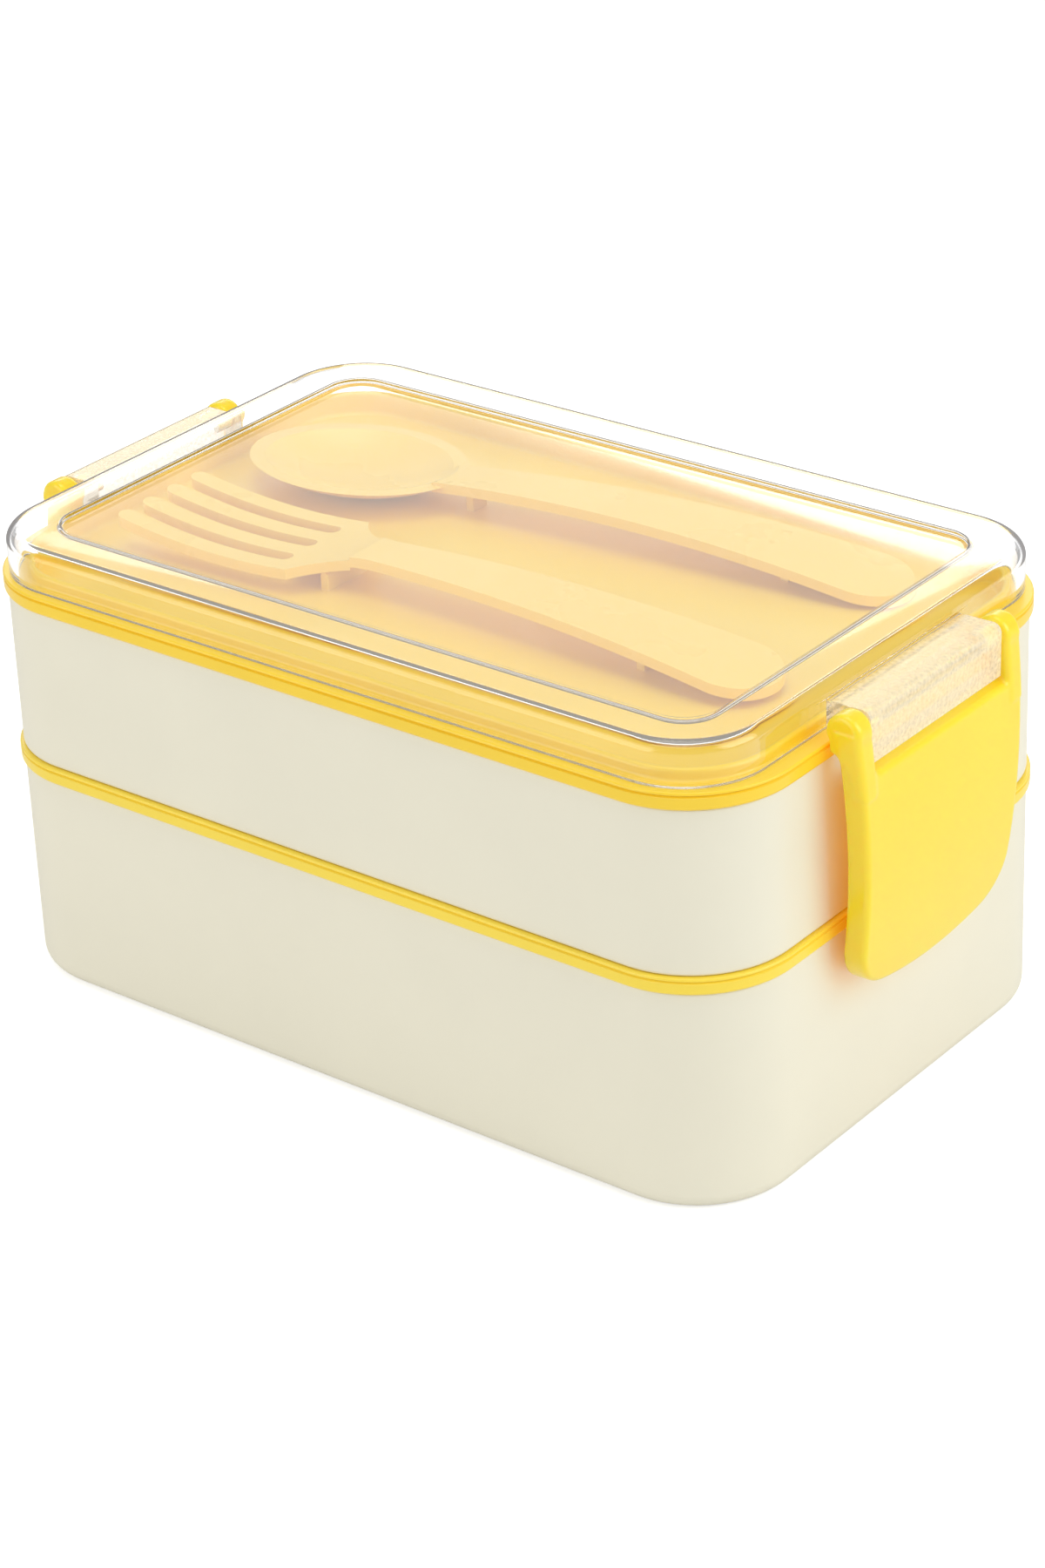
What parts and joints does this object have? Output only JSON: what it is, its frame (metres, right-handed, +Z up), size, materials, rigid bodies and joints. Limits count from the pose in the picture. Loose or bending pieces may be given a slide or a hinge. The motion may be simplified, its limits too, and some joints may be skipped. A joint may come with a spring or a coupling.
{
  "type": "bento lunch box",
  "caption": "Two-tier lunch box with a lid between the tiers, a cutlery tray with spoon and fork, a clear hinged-clip cover and rounded corners.",
  "frame": {"origin": "centre of the underside, on the surface that the box stands on", "axes": "+X along the box towards one clip, +Y across it, +Z up"},
  "size_m": [0.2062, 0.1216, 0.0988],
  "materials": {
    "cream_plastic": "fine satin moulded polypropylene",
    "yellow_plastic": "smooth moulded polypropylene",
    "clip_plastic": "smooth moulded polypropylene",
    "cutlery_plastic": "smooth moulded polypropylene",
    "silicone": "soft silicone",
    "clear_plastic": "polished clear styrene"
  },
  "bodies": {
    "lower_box": {"lower_box": "cream_plastic"},
    "middle_lid": {"middle_lid": "yellow_plastic", "middle_seal": "silicone"},
    "upper_box": {"upper_box": "cream_plastic"},
    "food_divider": {"food_divider": "cream_plastic"},
    "cutlery_tray": {"cutlery_tray": "yellow_plastic", "tray_seal": "silicone"},
    "spoon": {"spoon": "cutlery_plastic"},
    "fork": {"fork": "cutlery_plastic"},
    "lid": {"lid": "clear_plastic"},
    "clip_right": {"clip_right": "clip_plastic"},
    "clip_left": {"clip_left": "clip_plastic"}
  },
  "joints": [
    {"name": "middle_lid_lift", "type": "slide", "parent": "lower_box", "child": "middle_lid", "axis": [0, 0, 1], "range_m": [0, 0.072]},
    {"name": "upper_box_lift", "type": "slide", "parent": "middle_lid", "child": "upper_box", "axis": [0, 0, 1], "range_m": [0, 0.06]},
    {"name": "tray_lift", "type": "slide", "parent": "upper_box", "child": "cutlery_tray", "axis": [0, 0, 1], "range_m": [0, 0.072]},
    {"name": "divider_lift", "type": "slide", "parent": "upper_box", "child": "food_divider", "axis": [0, 0, 1], "range_m": [0, 0.0504]},
    {"name": "lid_lift", "type": "slide", "parent": "cutlery_tray", "child": "lid", "axis": [0, 0, 1], "range_m": [0, 0.06]},
    {"name": "spoon_lift", "type": "slide", "parent": "cutlery_tray", "child": "spoon", "axis": [0, 0, 1], "range_m": [0, 0.036]},
    {"name": "fork_lift", "type": "slide", "parent": "cutlery_tray", "child": "fork", "axis": [0, 0, 1], "range_m": [0, 0.024]},
    {"name": "clip_right_hinge", "type": "hinge", "parent": "lid", "child": "clip_right", "pos_m": [0.0981, 0, 0.0926], "axis": [0, -1, 0], "range_deg": [-1, 110]},
    {"name": "clip_left_hinge", "type": "hinge", "parent": "lid", "child": "clip_left", "pos_m": [-0.0981, 0, 0.0926], "axis": [0, 1, 0], "range_deg": [-1, 110]}
  ],
  "couplings": [
    {"joint": "divider_lift", "follows": "tray_lift", "ratio": 0.7},
    {"joint": "spoon_lift", "follows": "lid_lift", "ratio": 0.6},
    {"joint": "fork_lift", "follows": "lid_lift", "ratio": 0.4}
  ]
}
